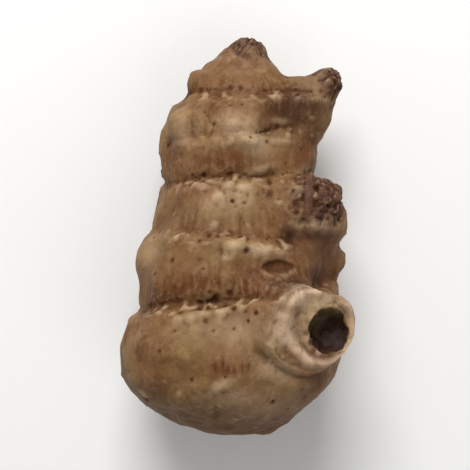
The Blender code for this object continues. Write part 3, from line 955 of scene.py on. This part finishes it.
def grow_skin(settings):
    """The whole skin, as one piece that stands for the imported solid."""
    piece = even_copy(settings)
    skin = Skin(piece.data)
    rng = np.random.default_rng(settings.seed)
    raise_rings(skin, rng, settings)
    raise_flesh(skin, settings)
    scatter_specks(skin, rng, settings)
    raise_features(skin)
    for bud in BUDS:
        raise_bud(skin, *bud)
    raise_scar(skin)
    skin.rise()
    paint_shade(skin)
    skin.keep_marks()
    piece.data.shade_smooth()
    return piece


# ---- The skin's material


class Signal:
    """An output of a shader node. Arithmetic on signals adds the Math nodes that work it out."""

    def __init__(self, tree, socket=None):
        self.tree = tree
        self.socket = socket

    def add(self, kind, settings=None, inputs=None, output=0):
        """One output of a new node. Its settings are set first, and then its sockets."""
        node = self.tree.nodes.new(kind)
        for name, value in (settings or {}).items():
            setattr(node, name, value)
        for name, value in (inputs or {}).items():
            if isinstance(value, Signal):
                self.tree.links.new(value.socket, node.inputs[name])
            else:
                node.inputs[name].default_value = value
        return Signal(self.tree, node.outputs[output])

    def maths(self, operation, *values, clamp=False):
        """The result of a Math node."""
        settings = {"operation": operation, "use_clamp": clamp}
        return self.add("ShaderNodeMath", settings, dict(enumerate(values)))

    def __add__(self, other):
        return self.maths("ADD", self, other)

    __radd__ = __add__

    def __sub__(self, other):
        return self.maths("SUBTRACT", self, other)

    def __rsub__(self, other):
        return self.maths("SUBTRACT", other, self)

    def __mul__(self, other):
        return self.maths("MULTIPLY", self, other)

    __rmul__ = __mul__

    def clamped(self):
        """This signal, kept from 0 to 1."""
        return self.maths("ADD", self, 0.0, clamp=True)

    def ramp(self, start, end):
        """A smooth step from 0 at start to 1 at end."""
        settings = {"interpolation_type": "SMOOTHSTEP"}
        inputs = {"Value": self, "From Min": start, "From Max": end}
        return self.add("ShaderNodeMapRange", settings, inputs)

    def between(self, first, second):
        """A mix of two colours by this signal."""
        return self.add("ShaderNodeMix", {"data_type": "RGBA"}, {0: self, 6: first, 7: second}, 2)

    def mark(self, name):
        """A mark that the mesh code left on the skin."""
        return self.add("ShaderNodeAttribute", {"attribute_name": name}, output=2)

    def noise(self, place, scale, detail, roughness):
        """Noise with about this many bumps to a metre."""
        inputs = {"Vector": place, "Scale": scale, "Detail": detail, "Roughness": roughness}
        return self.add("ShaderNodeTexNoise", {}, inputs)


def new_material(name):
    """A material, its shader and a signal to start from."""
    material = bpy.data.materials.new(name)
    material.use_nodes = True
    return material, material.node_tree.nodes["Principled BSDF"], Signal(material.node_tree)


def skin_material(settings):
    """Thin corky skin: blotched tan and brown, rust above the rings, pale lumps, dark pores and buds,
    with painted shade in its creases, its hollows and low down, and painted light in places.
    """
    material, shader, start = new_material("tuber skin")
    place = start.add("ShaderNodeTexCoord", output=3)
    squeezed = {0: place, 1: (1.0, 0.2, 1.0)}
    lengthwise = start.add("ShaderNodeVectorMath", {"operation": "MULTIPLY"}, squeezed)
    regions = start.noise(place, 95.0, 3.0, 0.55)
    blotches = start.noise(place, 260.0, 4.0, 0.6)
    mottling = start.noise(place, 800.0, 3.0, 0.65)
    streaks = start.noise(lengthwise, 1300.0, 3.0, 0.6)
    flecks = start.noise(place, 2100.0, 2.0, 0.7)
    speckle = start.noise(place, 3400.0, 2.0, 0.6)
    cavity = start.mark("cavity")
    valley = start.mark("valley")
    crease = start.mark("crease").ramp(0.10, 0.85)

    browned = blotches.ramp(0.40, 0.64) * 0.62 + mottling.ramp(0.35, 0.75) * 0.35
    # Painted shade: the broad hollows of the skin are browner.
    browned = browned + valley.ramp(0.45, 0.85) * 0.5 - 0.08
    worn = (1.0 - cavity.ramp(0.25, 0.48)) * mottling.ramp(0.35, 0.6) * 0.20
    rubbed = mottling.ramp(0.25, 0.6) * 0.5
    layers = (
        (browned, settings.brown),
        (start.mark("rust") * (streaks.ramp(0.30, 0.65) * 0.6 + 0.5), settings.rust),
        # The soil colour: real soil on the buds and patches, and painted shade low down, at the base end
        # and on the upper right knob.
        (start.mark("soil") * (0.45 + mottling), settings.soil),
        (worn, settings.pale),
        (start.mark("pale") * (rubbed + 0.62), settings.pale),
        (start.mark("collar") * (rubbed + 0.60), settings.flesh),
        (start.mark("plum"), settings.plum),
        (speckle.ramp(0.56, 0.74) * 0.16, settings.pale),
        (flecks.ramp(0.60, 0.74) * 0.35, settings.crease),
        (start.mark("furrow") * 0.6, settings.rust),
        # Painted shade: the fine hollows of the skin are darkened with the crease colour.
        (cavity.ramp(0.58, 1.0) * 0.45, settings.crease),
        # The crease mark: partly painted shade in the ring creases, the eye's fold and the scar's gap,
        # and partly dark pores and marks.
        (crease, settings.crease),
    )
    skin = regions.ramp(0.40, 0.60).between(tuple(settings.tan), tuple(settings.rosy))
    for amount, layer in layers:
        skin = amount.clamped().between(skin, tuple(layer))

    bark = start.mark("heart").between(tuple(settings.hollow), tuple(settings.heart))
    bark = (mottling.ramp(0.40, 0.70) * 0.6).clamped().between(bark, tuple(settings.crease))
    skin = start.mark("hollow").ramp(0.1, 0.8).between(skin, bark)
    start.tree.links.new(skin.socket, shader.inputs["Base Color"])

    roughness = 0.54 + mottling * 0.22 + crease * 0.2
    start.tree.links.new(roughness.clamped().socket, shader.inputs["Roughness"])
    shader.inputs["Specular IOR Level"].default_value = 0.22

    grain = speckle * 0.35 + mottling * 0.7 + streaks * 0.6
    relief = {"Strength": 0.6, "Distance": GRAIN_DEPTH * MM, "Height": grain}
    start.tree.links.new(start.add("ShaderNodeBump", {}, relief).socket, shader.inputs["Normal"])
    return material


# ---- The stage


def lay_floor(settings):
    """A wide pale floor for the tuber to lie on."""
    bm = bmesh.new()
    bmesh.ops.create_grid(bm, x_segments=1, y_segments=1, size=settings.floor_size / 2)
    mesh = bpy.data.meshes.new("floor")
    bm.to_mesh(mesh)
    bm.free()
    floor = bpy.data.objects.new("floor", mesh)
    floor.location.z = LOW.z
    material, shader, _ = new_material("floor")
    shader.inputs["Base Color"].default_value = tuple(settings.floor_colour)
    shader.inputs["Roughness"].default_value = 0.9
    mesh.materials.append(material)
    bpy.context.scene.collection.objects.link(floor)


def hang_light(name, target, direction, distance, size, power):
    """A soft square light that shines on the tuber from a direction."""
    lamp = bpy.data.lights.new(name, "AREA")
    lamp.size = size
    lamp.energy = power
    light = bpy.data.objects.new(name, lamp)
    away = Vector(direction).normalized()
    light.location = target + away * distance
    light.rotation_euler = away.to_track_quat("Z", "Y").to_euler()
    bpy.context.scene.collection.objects.link(light)


def set_lights(settings, target):
    """A key light beyond the bud end, a weak fill from the base end, and a pale sky."""
    key_from = (KEY_SIDE, math.cos(settings.key_height), math.sin(settings.key_height))
    hang_light("key", target, key_from, *KEY_PLACE, settings.key_power)
    hang_light("fill", target, FILL_FROM, *FILL_PLACE, settings.fill_power)
    world = bpy.data.worlds.new("studio")
    bpy.context.scene.world = world
    world.use_nodes = True
    background = world.node_tree.nodes["Background"]
    background.inputs["Color"].default_value = SKY_COLOUR
    background.inputs["Strength"].default_value = settings.sky


def set_camera(settings, low, high):
    """A camera straight above the tuber, with its bud end at the top of the picture."""
    camera = bpy.data.cameras.new("camera")
    camera.lens = settings.lens
    holder = bpy.data.objects.new("camera", camera)
    picture_height = (high.y - low.y) * settings.margin
    distance = picture_height * settings.lens / camera.sensor_width
    holder.location = (low + high) / 2 + Vector((0, 0, distance))
    bpy.context.scene.collection.objects.link(holder)
    bpy.context.scene.camera = holder


# ---- Operators, panel and registration


class TUBER_OT_grow_skin(Operator):
    """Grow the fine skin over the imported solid"""

    bl_idname = "tuber.grow_skin"
    bl_label = "Grow Skin"

    def execute(self, context):
        settings = context.scene.tuber_skin
        piece = grow_skin(settings)
        piece.data.materials.clear()
        piece.data.materials.append(skin_material(settings))
        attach(piece, "root")
        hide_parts("tuber")
        return {"FINISHED"}


class TUBER_OT_set_stage(Operator):
    """Lay the floor, hang the lights and set the camera above the tuber"""

    bl_idname = "tuber.set_stage"
    bl_label = "Set Stage"

    def execute(self, context):
        settings = context.scene.tuber_stage
        low, high = CAD_BOX
        lay_floor(settings)
        set_lights(settings, (low + high) / 2)
        set_camera(settings, low, high)
        context.scene.view_settings.view_transform = "Standard"
        return {"FINISHED"}


class TUBER_PT_looks(Panel):
    """Lists the tuber's settings and the steps that use them"""

    bl_idname = "TUBER_PT_looks"
    bl_label = "Jerusalem Artichoke"
    bl_space_type = "VIEW_3D"
    bl_region_type = "UI"
    bl_category = "Tuber"

    def draw(self, context):
        for settings, operator in (
            (context.scene.tuber_skin, TUBER_OT_grow_skin),
            (context.scene.tuber_stage, TUBER_OT_set_stage),
        ):
            box = self.layout.box()
            for name in settings.__annotations__:
                box.prop(settings, name)
            box.operator(operator.bl_idname)


CLASSES = (TuberSkinSettings, TuberStageSettings, TUBER_OT_grow_skin, TUBER_OT_set_stage, TUBER_PT_looks)


def register():
    for kind in CLASSES:
        bpy.utils.register_class(kind)
    bpy.types.Scene.tuber_skin = PointerProperty(type=TuberSkinSettings)
    bpy.types.Scene.tuber_stage = PointerProperty(type=TuberStageSettings)


def unregister():
    del bpy.types.Scene.tuber_stage
    del bpy.types.Scene.tuber_skin
    for kind in reversed(CLASSES):
        bpy.utils.unregister_class(kind)


def main():
    register()
    bpy.ops.tuber.grow_skin()
    bpy.ops.tuber.set_stage()


if __name__ == "__main__":
    main()
